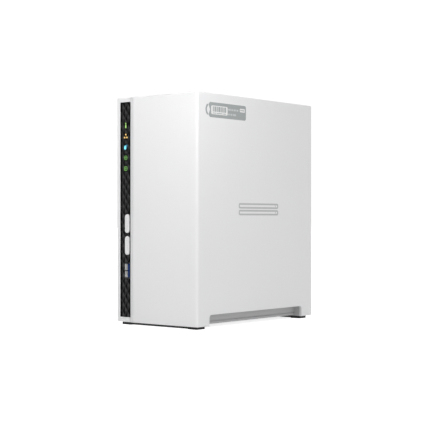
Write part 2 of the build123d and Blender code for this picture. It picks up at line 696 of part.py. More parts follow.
with BuildPart() as board_connector:
    block((board_x, -24.6), (drive_y - 24, drive_y + 20), (15.2, 22.0))
    block((-25.6, -23.0), (drive_y - 24, drive_y + 20), (backplane_z[1], 22.0))
save(board_connector, "board_connector")

# ---------------------------------------------------------------- fan
fan_y = (y_fan - fan_depth / 2, y_fan + fan_depth / 2)
with BuildPart() as fan_frame:
    block((-fan_size / 2, fan_size / 2), fan_y, (fan_z - fan_size / 2, fan_z + fan_size / 2))
    fillet(fan_frame.edges().filter_by(Axis.Y), 4.0)
    rod(fan_bore, 0, fan_z, grow(fan_y, 1), Mode.SUBTRACT)
    # Motor cup, its four struts and the bearing tube.
    rod(15.0, 0, fan_z, (fan_y[1] - 3.0, fan_y[1]))
    for angle in (45, 135, 225, 315):
        with Locations(Location((0, fan_y[1] - 1.5, fan_z), (0, angle, 0))):
            with Locations((27.0, 0, 0)):
                Box(25.0, 3.0, 2.4)
    rod(4.0, 0, fan_z, (fan_y[0] + 6.0, fan_y[1] - 2.0))
    rod(screw_r + 0.05, 0, fan_z, (fan_y[0] + 5.0, fan_y[1] - 2.0), Mode.SUBTRACT)
    for x in (-fan_pitch / 2, fan_pitch / 2):
        for z in (fan_z - fan_pitch / 2, fan_z + fan_pitch / 2):
            rod(1.9, x, z, grow(fan_y, 1), Mode.SUBTRACT)
save(fan_frame, "fan_frame")

with BuildPart() as fan_impeller:
    rod(16.0, 0, fan_z, (fan_y[0] + 1.5, fan_y[1] - 3.8))
    fillet(fan_impeller.faces().sort_by(Axis.Y)[0].edges(), 1.5)
    rod(14.4, 0, fan_z, (fan_y[0] + 4.0, fan_y[1] - 3.0), Mode.SUBTRACT)
    rod(screw_r, 0, fan_z, (fan_y[0] + 3.0, fan_y[1] - 4.0))
    for i in range(7):
        with BuildSketch(Plane.XY.offset(15.4)) as root:
            with Locations(Location((0, y_fan - 1.0), 48)):
                SlotOverall(22, 1.6)
        with BuildSketch(Plane.XY.offset(34.6)) as tip:
            with Locations(Location((0, y_fan - 1.0), 32)):
                SlotOverall(24, 1.0)
        blade = loft([root.sketch.face(), tip.sketch.face()], mode=Mode.PRIVATE)
        turned = blade.rotate(Axis.Y, 360 / 7 * i).moved(Location((0, 0, fan_z)))
        add(turned)
save(fan_impeller, "fan_impeller")

lead_r = 0.9
lead_route = [(-36.4, 49.5, 106.0), (-36.4, 43.5, 104.5), (-35.9, 42.0, 97.0), (-35.4, 42.0, 88.5)]
lead_bends = [4.3, 30.0]
with BuildPart() as fan_lead:
    with BuildLine() as lead_path:
        FilletPolyline(*lead_route, radius=lead_bends)
    with BuildSketch(Plane(origin=lead_path.line @ 0, z_dir=lead_path.line % 0)):
        Circle(lead_r)
    sweep()
    # The plug on the main board.
    block((board_x, board_x + 4.6), (38.5, 45.5), (81.5, 89.0))
save(fan_lead, "fan_lead")

# ---------------------------------------------------------------- feet
foot_x = (in_left + 2.8, in_right - 0.4)
pad_length = 10.0
bar_z = 0.45
foot_y = {"front": (y_front + 2.75, y_front + 12.75), "rear": (y_rear - 14.0, y_rear - 4.0)}
for name, y in foot_y.items():
    with BuildPart() as foot_bar:
        block(foot_x, y, (bar_z, z_base))
        block((foot_x[0], foot_x[0] + pad_length), y, (0, z_base))
        block((foot_x[1] - pad_length, foot_x[1]), y, (0, z_base))
        fillet(foot_bar.edges().filter_by(Axis.Z), 0.8)
        for x, post_y in post_points:
            if y[0] < post_y < y[1]:
                pin_z(3.2, x, post_y, (-1, z_base + 1), Mode.SUBTRACT)
    save(foot_bar, f"{name}_foot_bar")

# ---------------------------------------------------------------- label and emblem on the cover
with BuildPart() as side_label:
    label_plate()
save(side_label, "side_label")

with BuildPart() as emblem:
    emblem_bars()
save(emblem, "emblem")


# ---------------------------------------------------------------- fasteners
def screw_y(x, z, y_seat, length, direction, head_r=pan_head_r, shank_r=screw_r):
    """A pan-head screw along Y: its head sits on y_seat and its shank points along direction."""
    y_head = y_seat - direction * pan_head_t
    rod(head_r, x, z, sorted((y_seat, y_head)))
    rod(shank_r, x, z, sorted((y_seat, y_seat + direction * length)))
    # Cross recess.
    with Locations((x, y_head, z)):
        Box(head_r * 1.2, 0.9, 0.6, mode=Mode.SUBTRACT)
        Box(0.6, 0.9, head_r * 1.2, mode=Mode.SUBTRACT)


with BuildPart() as fan_screws:
    for x in (-fan_pitch / 2, fan_pitch / 2):
        for z in (fan_z - fan_pitch / 2, fan_z + fan_pitch / 2):
            screw_y(x, z, y_panel_out, 10.0, -1, 3.6, 1.9)
save(fan_screws, "fan_screws")

with BuildPart() as cover_screws:
    for z in lane_z:
        screw_y(lane_x, z, y_panel_out, 9.0, -1, 2.6)
save(cover_screws, "cover_screws")

with BuildPart() as drive_screws:
    for x in drive_x.values():
        for z in drive_screw_z:
            screw_y(x, z, cage_y[0] - cage_t, 5.0, 1)
            screw_y(x, z, cage_y[1] + cage_t, 5.0, -1)
save(drive_screws, "drive_screws")

with BuildPart() as board_screws:
    for y, z in board_holes:
        pin_x(pan_head_r, (board_x, board_x + cap_head_t), y, z)
        pin_x(0.9, (in_left + 1.0, board_x), y, z)
save(board_screws, "board_screws")

with BuildPart() as cage_screws:
    for x, y in cage_posts:
        pin_z(pan_head_r, x, y, (cage_z[0] + cage_t, cage_z[0] + cage_t + cap_head_t))
        pin_z(screw_r, x, y, (floor_z[0] + 2.0, cage_z[0] + cage_t))
    for x, y in plane_posts:
        pin_z(pan_head_r, x, y, (backplane_z[1], backplane_z[1] + cap_head_t))
        pin_z(screw_r, x, y, (floor_z[0] + 2.0, backplane_z[1]))
    for x in bridge_screw_x:
        for y in bridge_screw_y:
            pin_z(pan_head_r, x, y, (bridge_z[1], bridge_z[1] + cap_head_t))
            pin_z(screw_r, x, y, (cage_z[1] - 1.5, bridge_z[1]))
save(cage_screws, "cage_screws")

with BuildPart() as base_screws:
    for x, y in post_points:
        pin_z(pan_head_r, x, y, (z_base - 1.2, z_base))
        pin_z(screw_r, x, y, (z_base, tray_top + 5))
save(base_screws, "base_screws")
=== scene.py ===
"""Looks of a two-bay network storage tower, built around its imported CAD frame.

Metres, +Z up, the front faces -Y. The CAD nodes stay where they are and get procedural
finishes. New pieces: the faceted front insert and its rim, the lenses and the lit icons, the
marks on the keys, the prints on the side and rear labels, the springs of the front USB port
and the labels of the drives.
"""

import json
import math

import bmesh
import bpy
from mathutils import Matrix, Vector
from mathutils.geometry import tessellate_polygon


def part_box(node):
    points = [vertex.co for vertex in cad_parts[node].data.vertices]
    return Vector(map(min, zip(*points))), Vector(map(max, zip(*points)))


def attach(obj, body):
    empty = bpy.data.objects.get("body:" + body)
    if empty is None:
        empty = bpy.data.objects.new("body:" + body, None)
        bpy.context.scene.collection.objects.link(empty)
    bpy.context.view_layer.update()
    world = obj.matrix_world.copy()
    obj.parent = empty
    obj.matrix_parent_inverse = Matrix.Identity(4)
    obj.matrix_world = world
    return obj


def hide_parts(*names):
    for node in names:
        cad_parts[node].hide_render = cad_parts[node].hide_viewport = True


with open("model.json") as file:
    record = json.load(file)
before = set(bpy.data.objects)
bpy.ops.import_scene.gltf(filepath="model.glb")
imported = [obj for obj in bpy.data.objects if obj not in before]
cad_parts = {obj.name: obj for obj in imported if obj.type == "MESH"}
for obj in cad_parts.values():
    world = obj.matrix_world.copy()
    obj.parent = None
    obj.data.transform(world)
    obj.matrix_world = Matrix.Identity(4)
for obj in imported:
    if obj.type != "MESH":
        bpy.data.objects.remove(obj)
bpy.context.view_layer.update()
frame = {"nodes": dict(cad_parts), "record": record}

MM = 0.001
PROUD = 0.04 * MM          # how far a print stands in front of what it is printed on


# ------------------------------------------------------------------ material building
class Finish:
    """One procedural material: its shader, and short ways to feed it."""

    def __init__(self, name):
        self.material = bpy.data.materials.new(name)
        self.material.use_nodes = True
        self.nodes = self.material.node_tree.nodes
        self.links = self.material.node_tree.links
        self.shader = self.nodes["Principled BSDF"]
        self.place = self.nodes.new("ShaderNodeTexCoord").outputs["Object"]
        self.normal = None

    def node(self, kind, inputs, **settings):
        """A node with its settings and inputs, each input a number, a colour or a socket."""
        made = self.nodes.new(kind)
        for key, value in settings.items():
            setattr(made, key, value)
        for key, value in inputs.items():
            if isinstance(value, bpy.types.NodeSocket):
                self.links.new(value, made.inputs[key])
            else:
                made.inputs[key].default_value = value
        return made

    def noise(self, size, detail=3.0, stretch=(1, 1, 1)):
        """Soft noise with features of about that size, drawn out where stretch is under 1."""
        where = self.node("ShaderNodeMapping", {"Vector": self.place, "Scale": stretch})
        inputs = {"Vector": where.outputs[0], "Scale": 1 / size, "Detail": detail}
        return self.node("ShaderNodeTexNoise", inputs).outputs[0]

    def cells(self, size, metric="EUCLIDEAN"):
        """Distance to the nearest of scattered points."""
        inputs = {"Vector": self.place, "Scale": 1 / size}
        return self.node("ShaderNodeTexVoronoi", inputs, distance=metric).outputs["Distance"]

    def spread(self, factor, low, high, start=0.0, end=1.0):
        """The factor, mapped from start..end to low..high."""
        inputs = {"Value": factor, "From Min": start, "From Max": end}
        inputs.update({"To Min": low, "To Max": high})
        return self.node("ShaderNodeMapRange", inputs).outputs[0]

    def blend(self, factor, first, second):
        """A colour between two, each a colour or a socket."""
        def rgba(colour):
            return colour if isinstance(colour, bpy.types.NodeSocket) else (*colour, 1)

        inputs = {0: factor, 6: rgba(first), 7: rgba(second)}
        return self.node("ShaderNodeMix", inputs, data_type="RGBA").outputs[2]

    def relief(self, height, depth):
        """Adds a bump of that depth in metres over the bumps already there."""
        inputs = {"Height": height, "Distance": depth}
        if self.normal:
            inputs["Normal"] = self.normal
        self.normal = self.node("ShaderNodeBump", inputs).outputs[0]
        self.links.new(self.normal, self.shader.inputs["Normal"])

    def set(self, **values):
        """Sets or links sockets of the shader: base_color=, roughness=, coat_weight= and so on."""
        for key, value in values.items():
            socket = self.shader.inputs[key.replace("_", " ").title().replace("Ior", "IOR")]
            if isinstance(value, bpy.types.NodeSocket):
                self.links.new(value, socket)
            elif socket.type == "RGBA":
                socket.default_value = (*value, 1)
            else:
                socket.default_value = value
        return self.material


def shade(colour, factor):
    """A colour made darker or lighter."""
    return tuple(min(1.0, channel * factor) for channel in colour)


def moulded(name, colour, rough, grain_size=0.45 * MM, grain_depth=0.012 * MM, drift=0.03):
    """Moulded plastic: a fine spark-eroded grain, with slow drifts in tone and gloss."""
    f = Finish(name)
    slow = f.noise(38 * MM, 2)
    fine = f.noise(grain_size, 4)
    tone = f.blend(slow, shade(colour, 1 - drift), shade(colour, 1 + drift))
    f.set(base_color=f.blend(f.spread(fine, 0, 0.25), tone, shade(colour, 1 - 2 * drift)))
    f.set(roughness=f.spread(f.noise(6 * MM, 3), rough - 0.05, rough + 0.05))
    f.relief(fine, grain_depth)
    return f


def plated(name, colour, rough, along=(1, 1, 1), brush_depth=0.004 * MM):
    """Metal sheet with a fine brushing and cloudy plating."""
    f = Finish(name)
    brush = f.noise(0.35 * MM, 3, along)
    cloud = f.noise(9 * MM, 3)
    f.set(base_color=f.blend(cloud, shade(colour, 0.9), shade(colour, 1.06)), metallic=1.0)
    f.set(roughness=f.spread(brush, rough - 0.07, rough + 0.09), anisotropic=0.35)
    f.relief(brush, brush_depth)
    return f


def printed(name, colour, rough=0.5):
    """Ink on film: flat, with the paper-fine tooth of a screen print."""
    f = Finish(name)
    tooth = f.noise(0.22 * MM, 2)
    f.set(base_color=f.blend(f.noise(3 * MM, 4), shade(colour, 0.97), shade(colour, 1.03)))
    f.set(roughness=f.spread(tooth, rough - 0.06, rough + 0.06))
    f.relief(tooth, 0.003 * MM)
    return f


def lit(name, colour, strength):
    """A translucent window lit from behind, its glow brighter in some patches than in others."""
    f = Finish(name)
    patch = f.noise(1.1 * MM, 2)
    f.set(base_color=shade(colour, 0.35), roughness=0.3)
    f.set(emission_color=f.blend(patch, shade(colour, 0.8), colour), emission_strength=strength)
    f.relief(f.noise(0.3 * MM), 0.003 * MM)
    return f


# ------------------------------------------------------------------ the finishes
def white_case():
    f = moulded("white_case", (0.83, 0.83, 0.835), 0.4, drift=0.008)
    return f.set(specular_ior_level=0.45)


def tray_painted_shade():
    """The base tray is coloured a shade greyer than the case round it: painted shade for the
    shadowed notch under the case.
    """
    return moulded("tray_painted_shade", (0.56, 0.56, 0.565), 0.45, drift=0.015).material


def insert_black():
    f = moulded("insert_black", (0.0035, 0.0035, 0.0038), 0.17, 1.5 * MM, 0.002 * MM, 0.2)
    return f.set(specular_ior_level=0.4)


def lens_black():
    f = moulded("lens_black", (0.003, 0.003, 0.0032), 0.16, 0.5 * MM, 0.002 * MM, 0.2)
    return f.set(coat_weight=0.2, coat_roughness=0.1)


def key_white():
    f = moulded("key_white", (0.82, 0.82, 0.82), 0.3, 0.3 * MM, 0.006 * MM, 0.01)
    return f.set(coat_weight=0.15, coat_roughness=0.2)


def clear_light_guide():
    f = moulded("clear_light_guide", (0.75, 0.8, 0.76), 0.12, 0.6 * MM, 0.003 * MM, 0.02)
    return f.set(transmission_weight=0.55, ior=1.49)


def lamp_white():
    return moulded("lamp_white", (0.8, 0.8, 0.72), 0.25, 0.4 * MM, 0.004 * MM).material


def foot_rubber():
    f = moulded("foot_rubber", (0.022, 0.022, 0.023), 0.72, 0.5 * MM, 0.03 * MM, 0.12)
    return f.set(sheen_weight=0.12)


def black_plastic():
    return moulded("black_plastic", (0.02, 0.02, 0.021), 0.45, drift=0.1).material


def fan_black():
    f = moulded("fan_black", (0.016, 0.016, 0.017), 0.34, 0.5 * MM, 0.01 * MM, 0.1)
    return f.material


def chip_black():
    f = moulded("chip_black", (0.024, 0.024, 0.026), 0.5, 0.25 * MM, 0.01 * MM, 0.08)
    return f.material


def inductor_grey():
    return moulded("inductor_grey", (0.14, 0.14, 0.145), 0.6, 0.2 * MM, 0.02 * MM, 0.08).material


def lead_black():
    f = moulded("lead_black", (0.02, 0.02, 0.02), 0.5, 0.8 * MM, 0.02 * MM, 0.1)
    return f.set(sheen_weight=0.1)


def usb_blue():
    return moulded("usb_blue", (0.002, 0.032, 0.17), 0.35, 0.3 * MM, 0.004 * MM, 0.06).material


def board_green():
    """Solder mask over copper: traces and pads show through as a lighter, raised green."""
    f = Finish("board_green")
    traces = f.spread(f.cells(2.6 * MM, "MANHATTAN"), 0, 1, 0.42, 0.5)
    vias = f.spread(f.cells(3.4 * MM), 1, 0, 0.05, 0.09)
    mask = f.blend(f.noise(20 * MM), (0.008, 0.1, 0.045), (0.012, 0.13, 0.055))
    copper = f.blend(traces, mask, (0.018, 0.2, 0.08))
    f.set(base_color=f.blend(vias, copper, (0.55, 0.5, 0.36)))
    f.set(roughness=f.spread(f.noise(2 * MM), 0.25, 0.38), coat_weight=0.3, coat_roughness=0.15)
    f.relief(traces, 0.02 * MM)
    return f.material


def port_steel():
    return plated("port_steel", (0.68, 0.68, 0.69), 0.26, (1, 0.1, 1)).material


def spring_tin():
    """Tinned spring strip: paler and duller than the shell round it."""
    f = plated("spring_tin", (0.86, 0.86, 0.85), 0.5)
    return f.set(metallic=0.35)


def screw_steel():
    return plated("screw_steel", (0.6, 0.6, 0.61), 0.28).material


def cage_steel():
    """Zinc-plated sheet: large pale spangles over a fine brushing."""
    f = plated("cage_steel", (0.58, 0.59, 0.6), 0.36, (0.08, 1, 1))
    spangle = f.cells(7 * MM)
    f.set(base_color=f.blend(spangle, (0.5, 0.51, 0.52), (0.66, 0.67, 0.68)))
    return f.material


def drive_lid():
    return plated("drive_lid", (0.62, 0.63, 0.64), 0.3, (1, 1, 0.06)).material


def drive_casting():
    """Cast aluminium: a coarse, dull skin with small pits."""
    f = Finish("drive_casting")
    skin = f.noise(1.2 * MM, 5)
    pits = f.spread(f.cells(2.2 * MM), 0, 1, 0, 0.2)
    f.set(base_color=f.blend(skin, (0.34, 0.35, 0.36), (0.46, 0.47, 0.48)), metallic=1.0)
    f.set(roughness=f.spread(skin, 0.45, 0.62))
    f.relief(skin, 0.05 * MM)
    f.relief(pits, 0.04 * MM)
    return f.material


def heat_sink_black():
    f = plated("heat_sink_black", (0.03, 0.03, 0.033), 0.4, (1, 0.05, 1))
    return f.set(metallic=0.85)


def capacitor_can():
    """Drawn aluminium can with rings left by the deep drawing."""
    return plated("capacitor_can", (0.62, 0.63, 0.65), 0.24, (1, 0.2, 0.2)).material


def cell_steel():
    return plated("cell_steel", (0.72, 0.72, 0.72), 0.16, (0.3, 1, 1), 0.002 * MM).material


def contact_gold():
    return plated("contact_gold", (0.83, 0.58, 0.2), 0.22, (1, 0.1, 1), 0.002 * MM).material


def label_grey():
    return printed("label_grey", (0.352, 0.377, 0.377)).material


def label_white():
    return printed("label_white", (0.83, 0.83, 0.825)).material


def emblem_grey():
    return printed("emblem_grey", (0.5, 0.5, 0.505)).material


FINISHES = {make.__name__: make for make in (
    white_case, insert_black, key_white, clear_light_guide, lamp_white, foot_rubber,
    black_plastic, fan_black, chip_black, inductor_grey, lead_black, usb_blue, board_green,
    port_steel, screw_steel, cage_steel, drive_lid, drive_casting, heat_sink_black,
    capacitor_can, cell_steel, contact_gold, label_grey, label_white, emblem_grey,
)}
finishes = {slot: make() for slot, make in FINISHES.items()}
# the base tray's greyer colour is painted shade for the notch under the case
finishes["tray_painted_shade"] = tray_painted_shade()
finishes["lens_black"] = lens_black()
finishes["spring_tin"] = spring_tin()
finishes["print_pale"] = printed("print_pale", (0.56, 0.58, 0.58)).material
finishes["print_faint"] = printed("print_faint", (0.62, 0.62, 0.625)).material

slot_of = {part["node"]: part["material_slot"] for part in frame["record"]["subparts"]}
for name, node in frame["nodes"].items():
    node.data.materials.clear()
    # The base tray takes the greyer finish, painted shade for the notch, in place of its slot's
    # white.
    node.data.materials.append(finishes["tray_painted_shade" if name == "base_tray" else slot_of[name]])


# ------------------------------------------------------------------ flat shapes
def front(x, z, y):
    """Where a point of a flat shape on the front goes: across, up and depth."""
    return Vector((x, y, z))


def side(y, z, x):
    """Where a point of a flat shape on the right side goes: along, up and depth."""
    return Vector((x, y, z))


def arc(centre, radius, start, end, steps):
    """Points of an arc between two angles in degrees."""
    turns = (math.radians(start + (end - start) * i / steps) for i in range(steps + 1))
    return [(centre[0] + radius * math.cos(t), centre[1] + radius * math.sin(t)) for t in turns]


def bar(centre, width, height, radius=None, steps=6):
    """A rounded bar's outline; with no radius its ends are half rounds."""
    radius = min(width, height) / 2 - 1e-6 if radius is None else radius
    dx, dy = width / 2 - radius, height / 2 - radius
    corners = ((dx, dy, 0), (-dx, dy, 90), (-dx, -dy, 180), (dx, -dy, 270))
    points = []
    for x, y, start in corners:
        points += arc((centre[0] + x, centre[1] + y), radius, start, start + 90, steps)
    return points


def disc(centre, radius, steps=24):
    """A round outline."""
    return arc(centre, radius, 0, 360 * (1 - 1 / steps), steps - 1)


def ring(centre, radius, width, steps=24):
    """A round band's outline and hole."""
    return [disc(centre, radius, steps), disc(centre, radius - width, steps)]


def tilted(points, centre, angle):
    """Points turned about a centre."""
    c, s = math.cos(math.radians(angle)), math.sin(math.radians(angle))
    turned = []
    for x, y in points:
        dx, dy = x - centre[0], y - centre[1]
        turned.append((centre[0] + c * dx - s * dy, centre[1] + s * dx + c * dy))
    return turned


def moved(shapes, across, up):
    """Shapes given in millimetres, turned into metres and shifted."""
    def place(loop):
        return [(across + x * MM, up + y * MM) for x, y in loop]

    return [[place(loop) for loop in loops] for loops in shapes]


def add_slab(bm, loops, place, low, high):
    """A closed plate between two depths: loops[0] is its outline and the rest are holes."""
    flat = [[Vector((x, y, 0)) for x, y in loop] for loop in loops]
    triangles = tessellate_polygon(flat)
    layers = []
    for depth in (low, high):
        layers.append([bm.verts.new(place(x, y, depth)) for loop in loops for x, y in loop])
    for layer in layers:
        for corners in triangles:
            bm.faces.new([layer[i] for i in corners])
    start = 0
    for loop in loops:
        count = len(loop)
        for i in range(count):
            a, b = start + i, start + (i + 1) % count
            bm.faces.new([layers[0][a], layers[0][b], layers[1][b], layers[1][a]])
        start += count


def mesh_object(name, bm):
    """An object from a mesh under construction."""
    bmesh.ops.recalc_face_normals(bm, faces=bm.faces)
    mesh = bpy.data.meshes.new(name)
    bm.to_mesh(mesh)
    bm.free()
    made = bpy.data.objects.new(name, mesh)
    bpy.context.scene.collection.objects.link(made)
    return made


def finish_piece(name, bm, body, finish):
    """Turns a mesh under construction into a piece that rides on a body."""
    piece = mesh_object(name, bm)
    piece.data.materials.append(finishes[finish])
    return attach(piece, body)


def plates(name, shapes, place, depth, body, finish):
    """One piece made of flat shapes, each a list of loops, between the two depths."""
    bm = bmesh.new()
    for loops in shapes:
        add_slab(bm, loops, place, *depth)
    return finish_piece(name, bm, body, finish)


# ------------------------------------------------------------------ front insert
insert_low, insert_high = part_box("front_insert")
guide_low, guide_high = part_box("light_pipe")
keys = [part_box(f"{name}_button") for name in ("power", "copy")]
usb_low, usb_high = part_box("front_usb_shell")

FACET_HALF = (2.885 * MM, 4.11 * MM)      # half a facet's width and height
FACET_DEPTH = 0.75 * MM
FACET_PHASE = (2.0 * MM, 5.4 * MM)        # first peak, from the insert's top left corner
RIM = 0.7 * MM                            # the flat margin round the facets
OUTLINE_ROUND = 0.5 * MM
OPENING_GAP = 0.12 * MM                   # round the lenses, the keys and the port
KEY_SIZE = (5.05 * MM, 15.6 * MM)
LENS_SIZE = (4.2 * MM, 5.4 * MM)
LENS_PITCH, LENS_TOP = 8.95 * MM, 5 * MM  # LENS_TOP is from the guide's top to the first lens

icon_x = (guide_low.x + guide_high.x) / 2
icon_z = [guide_high.z - LENS_TOP - LENS_PITCH * i for i in range(5)]


def facet_slab(low, high):
    """A plate whose front is a lattice of four-sided pyramids, larger than the insert."""
    half_w, half_h = FACET_HALF
    peak_x, peak_z = low.x + FACET_PHASE[0], high.z - FACET_PHASE[1]
    columns = range(-3, int((high.x - peak_x) / half_w) + 4)
    rows = range(-3, int((peak_z - low.z) / half_h) + 4)
    bm = bmesh.new()

    def corner(i, j):
        depth = FACET_DEPTH * ((i + j) % 2)
        return bm.verts.new((peak_x + i * half_w, low.y + depth, peak_z - j * half_h))

    front_face = {(i, j): corner(i, j) for i in columns for j in rows}
    for i in columns[:-1]:
        for j in rows[:-1]:
            a, b = front_face[i, j], front_face[i + 1, j]
            c, d = front_face[i + 1, j + 1], front_face[i, j + 1]
            # Each square's diagonal joins its two valleys, so that four squares share a peak.
            split = ((a, b, d), (b, c, d)) if (i + j) % 2 == 0 else ((a, b, c), (a, c, d))
            for corners in split:
                bm.faces.new(corners)
    rim = [e for e in bm.edges if e.is_boundary]
    for v in bmesh.ops.extrude_edge_only(bm, edges=rim)["geom"]:
        if isinstance(v, bmesh.types.BMVert):
            v.co.y = high.y
    bmesh.ops.holes_fill(bm, edges=[e for e in bm.edges if e.is_boundary], sides=0)
    return bm


def middle(box):
    """The centre of a box across and up."""
    return ((box[0].x + box[1].x) / 2, (box[0].z + box[1].z) / 2)


def facet_insert():
    """The glossy black insert: the lattice, cut to the insert's outline and openings."""
    low, high = insert_low, insert_high
    loops = [bar(middle((low, high)), high.x - low.x, high.z - low.z, OUTLINE_ROUND)]
    loops += [bar((icon_x, z), *(size + OPENING_GAP for size in LENS_SIZE)) for z in icon_z]
    loops += [bar(middle(box), *(size + 2 * OPENING_GAP for size in KEY_SIZE)) for box in keys]
    usb_size = (usb_high.x - usb_low.x + OPENING_GAP, usb_high.z - usb_low.z + OPENING_GAP)
    loops.append(bar(middle((usb_low, usb_high)), *usb_size, 0.1 * MM, 2))
    cutter_mesh = bmesh.new()
    add_slab(cutter_mesh, loops, front, low.y - 1 * MM, high.y - 0.02 * MM)
    cutter = mesh_object("insert_outline", cutter_mesh)
    insert = mesh_object("facet_insert", facet_slab(low, high))
    cut = insert.modifiers.new("outline", "BOOLEAN")
    cut.operation, cut.solver, cut.object = "INTERSECT", "EXACT", cutter
    bpy.context.view_layer.update()
    state = bpy.context.evaluated_depsgraph_get()
    shaped = bpy.data.meshes.new_from_object(insert.evaluated_get(state))
    insert.modifiers.clear()
    insert.data = shaped
    bpy.data.objects.remove(cutter)
    shaped.materials.clear()
    shaped.materials.append(finishes["insert_black"])
    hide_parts("front_insert")
    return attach(insert, "chassis")


def insert_rim():
    """The narrow flat margin round the relief."""
    centre, size = middle((insert_low, insert_high)), insert_high - insert_low
    loops = [
        bar(centre, size.x, size.z, OUTLINE_ROUND),
        bar(centre, size.x - 2 * RIM, size.z - 2 * RIM, 0.3 * MM),
    ]
    depth = (insert_low.y - 0.01 * MM, insert_low.y + FACET_DEPTH)
    return plates("insert_rim", [loops], front, depth, "chassis", "insert_black")


facet_insert()
insert_rim()

# ------------------------------------------------------------------ lenses and lit icons
face_y = insert_low.y
lens_y = face_y + 0.01 * MM
plates(
    "icon_lenses",
    [[bar((icon_x, z), *LENS_SIZE)] for z in icon_z],
    front, (lens_y, guide_low.y), "chassis", "lens_black",
)


def collar(z):
    """The thin wall round a lens that hides the side of the light guide."""
    margins = (0.05 * MM, -0.07 * MM)
    return [bar((icon_x, z), *(size + margin for size in LENS_SIZE)) for margin in margins]


plates(
    "lens_collars",
    [collar(z) for z in icon_z],
    front, (lens_y, face_y + FACET_DEPTH + 0.1 * MM), "chassis", "lens_black",
)


def icon(name, z, shapes, colour, strength):
    """A lit icon on its lens, from shapes given in millimetres about its middle."""
    finishes[name] = lit(name, colour, strength).material
    depth = (face_y - PROUD, face_y + 0.02 * MM)
    plates(name, moved(shapes, icon_x, z), front, depth, "chassis", name)


GREEN, LEAF, AMBER = (0.36, 0.65, 0.19), (0.16, 0.37, 0.1), (0.93, 0.6, 0.2)
BLUE, DIM_BLUE = (0.22, 0.8, 1.0), (0.05, 0.17, 0.26)
DOT_AND_BAR = [[disc((0, 1.65), 0.62)], [bar((0, -0.75), 1.35, 2.8, 0.4)]]
DOTS = [[disc(centre, 0.74)] for centre in ((0, 1.4), (-1.3, -1.0), (1.3, -1.0))]
CAPSULE_TILT = -14
BACK_CAPSULE = [[tilted(bar((0.85, 0.7), 1.8, 2.8), (0.85, 0.7), CAPSULE_TILT)]]
FRONT_CAPSULE = [[tilted(bar((-0.5, -0.4), 2.4, 3.6), (-0.5, -0.4), CAPSULE_TILT)]]
CHEVRON = [(-1.0, 0.3), (-0.6, 0.65), (0, 0.15), (0.6, 0.65), (1.0, 0.3), (0, -0.6)]

icon("icon_status", icon_z[0], DOT_AND_BAR, GREEN, 1.1)
icon("icon_network", icon_z[1], DOTS, AMBER, 1.1)
icon("icon_copy_back", icon_z[2], BACK_CAPSULE, DIM_BLUE, 1.0)
icon("icon_copy", icon_z[2], FRONT_CAPSULE, BLUE, 1.15)
icon("icon_drive_1", icon_z[3], [ring((0, 0), 2.02, 0.5, 6), [CHEVRON]], LEAF, 1.1)
icon("icon_drive_2", icon_z[4], [ring((0, 0), 1.98, 0.52), [disc((0, 0), 0.6)]], LEAF, 1.2)

# ------------------------------------------------------------------ marks on the keys
DASH, DASH_PITCH = (0.5 * MM, 1.3 * MM), 1.9 * MM

for name, box in zip(("power", "copy"), keys):
    x, z = middle(box)
    dashes = [[bar((x, z + DASH_PITCH * i), *DASH)] for i in (-2, -1, 0, 1, 2)]
    depth = (box[0].y - PROUD / 2, box[0].y + 0.05 * MM)
    plates(f"{name}_key_mark", dashes, front, depth, f"{name}_key", "print_faint")

# ------------------------------------------------------------------ side label
label_low, label_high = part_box("side_label")
label_depth = (label_high.x - 0.02 * MM, label_high.x + PROUD)
over_depth = (label_high.x, label_high.x + 2 * PROUD)
label_right = label_high.y
label_mid = (label_low.z + label_high.z) / 2


def label_print(name, shapes, depth, finish):
    """A print on the side label, from shapes in millimetres from the middle of its right end."""
    plates(name, moved(shapes, label_right, label_mid), side, depth, "cover", finish)


def row_of_bars(start, level, height, widths, gap):
    """Bars side by side, from their widths."""
    shapes, at = [], start
    for width in widths:
        shapes.append([bar((at + width / 2, level), width, height, min(width, height) * 0.25, 2)])
        at += width + gap
    return shapes


# Middle and size of the pale window and of the small tag at the right end.
WINDOW, WINDOW_SIZE = (-34.5, 0.0), (20.8, 7.0)
TAG, TAG_SIZE = (-4.8, 1.95), (6.6, 2.9)
CODE_WIDTHS = [1.0, 0.5, 1.6, 0.5, 1.1, 2.1, 0.5, 1.4, 0.6, 1.0, 1.5]
code_start, text_start, tag_start = WINDOW[0] - 8.4, -23.4, TAG[0] - 2.5

label_print(
    "label_window",
    [[bar(WINDOW, *WINDOW_SIZE, 1.2)], [bar(TAG, *TAG_SIZE, 0.7)]],
    label_depth, "label_white",
)
code_bars = row_of_bars(code_start, WINDOW[1] + 0.75, 4.3, CODE_WIDTHS, 0.5)
code_bars += row_of_bars(code_start, WINDOW[1] - 2.5, 0.55, [4.2, 7.5, 3.9], 0.6)
label_print("label_code", code_bars, over_depth, "label_grey")
text_bars = row_of_bars(text_start, 1.5, 1.5, [3.4, 2.3, 3.0, 2.6], 0.7)
text_bars += row_of_bars(text_start, -2.4, 1.5, [2.2, 2.4, 4.2], 0.8)
label_print("label_text_bars", text_bars, label_depth, "print_pale")
tag_bars = row_of_bars(tag_start, TAG[1], 1.0, [1.3] * 3, 0.5)
label_print("label_tag_bars", tag_bars, over_depth, "label_grey")

# ------------------------------------------------------------------ USB springs
SPRING_RISE, SPRING_LONG, SPRING_WIDE = 1.5 * MM, 3.6 * MM, 5.0 * MM
SPRING_PITCH, SPRING_SHEET = 6.0 * MM, 0.08 * MM
SPRING_START = (0.06 * MM, 0.05 * MM)     # off the wall and behind the mouth
SHELL_SKIN = 0.35 * MM


